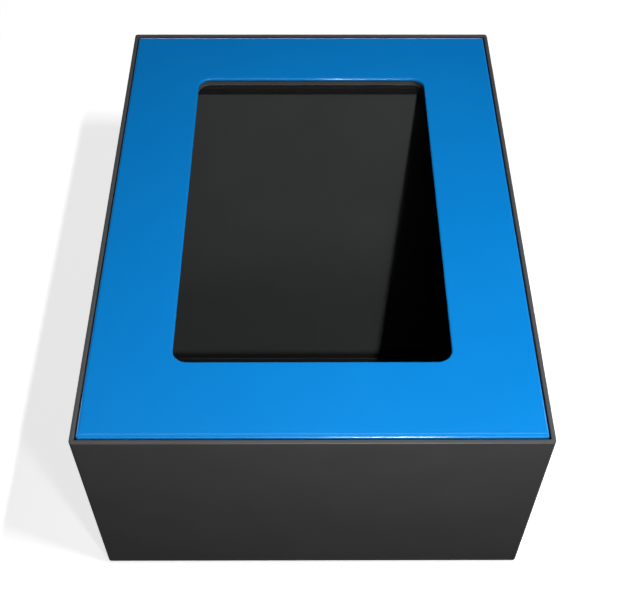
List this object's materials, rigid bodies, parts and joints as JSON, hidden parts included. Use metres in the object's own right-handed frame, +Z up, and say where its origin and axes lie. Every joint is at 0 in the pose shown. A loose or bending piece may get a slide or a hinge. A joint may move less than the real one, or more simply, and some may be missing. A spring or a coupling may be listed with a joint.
{
  "type": "security tag detacher",
  "caption": "Counter-top magnetic detacher for hard security tags: a dark folded-steel box with a hinged blue cover framing a sloping deck.",
  "frame": {"origin": "on the counter, under the middle of the box", "axes": "+Z up, +Y from the front towards the back, +X to the right of a person facing the front"},
  "size_m": [0.18, 0.242, 0.1038],
  "materials": {
    "housing": "semi-gloss dark grey powder coat, fine orange peel",
    "cover_blue": "glossy blue enamel",
    "deck": "dark grey low-friction laminate, semi-matt",
    "rubber": "matt black",
    "black_plastic": "moulded acetal",
    "zinc": "zinc plated",
    "stainless": "ground stainless",
    "black_screw": "black oxide",
    "nickel": "nickel plated",
    "ferrite": "ground ferrite",
    "aluminium": "turned",
    "bronze": "sintered bronze"
  },
  "bodies": {
    "housing": {"housing_shell": "housing", "base_plate": "housing", "base_screws": "zinc", "rubber_feet": "rubber", "right_ledge": "housing", "left_ledge": "housing", "front_ledge": "housing", "cover_pads": "rubber", "catch_cups": "black_plastic", "catch_magnets": "nickel", "sloping_deck": "deck", "deck_edge_trim": "rubber", "right_deck_rail": "housing", "left_deck_rail": "housing", "deck_screws": "black_screw", "pocket_mat": "rubber", "magnet_pot": "zinc", "ring_magnet": "ferrite", "spacer_ring": "aluminium", "core_magnet": "nickel", "pole_piece": "zinc", "magnet_face_cap": "stainless", "magnet_cradle": "zinc", "magnet_bolt": "zinc", "cradle_screws": "zinc", "right_pivot_bracket": "housing", "left_pivot_bracket": "housing", "right_pivot_pin": "stainless", "left_pivot_pin": "stainless"},
    "cover": {"cover_plate": "cover_blue", "cover_frame": "housing", "cover_studs": "zinc", "cover_nuts": "zinc", "right_pivot_block": "black_plastic", "left_pivot_block": "black_plastic", "right_pivot_bush": "bronze", "left_pivot_bush": "bronze"}
  },
  "joints": [
    {"name": "cover_hinge", "type": "hinge", "parent": "housing", "child": "cover", "pos_m": [0, 0.098, 0.0983], "axis": [-1, 0, 0], "range_deg": [0, 95]}
  ]
}
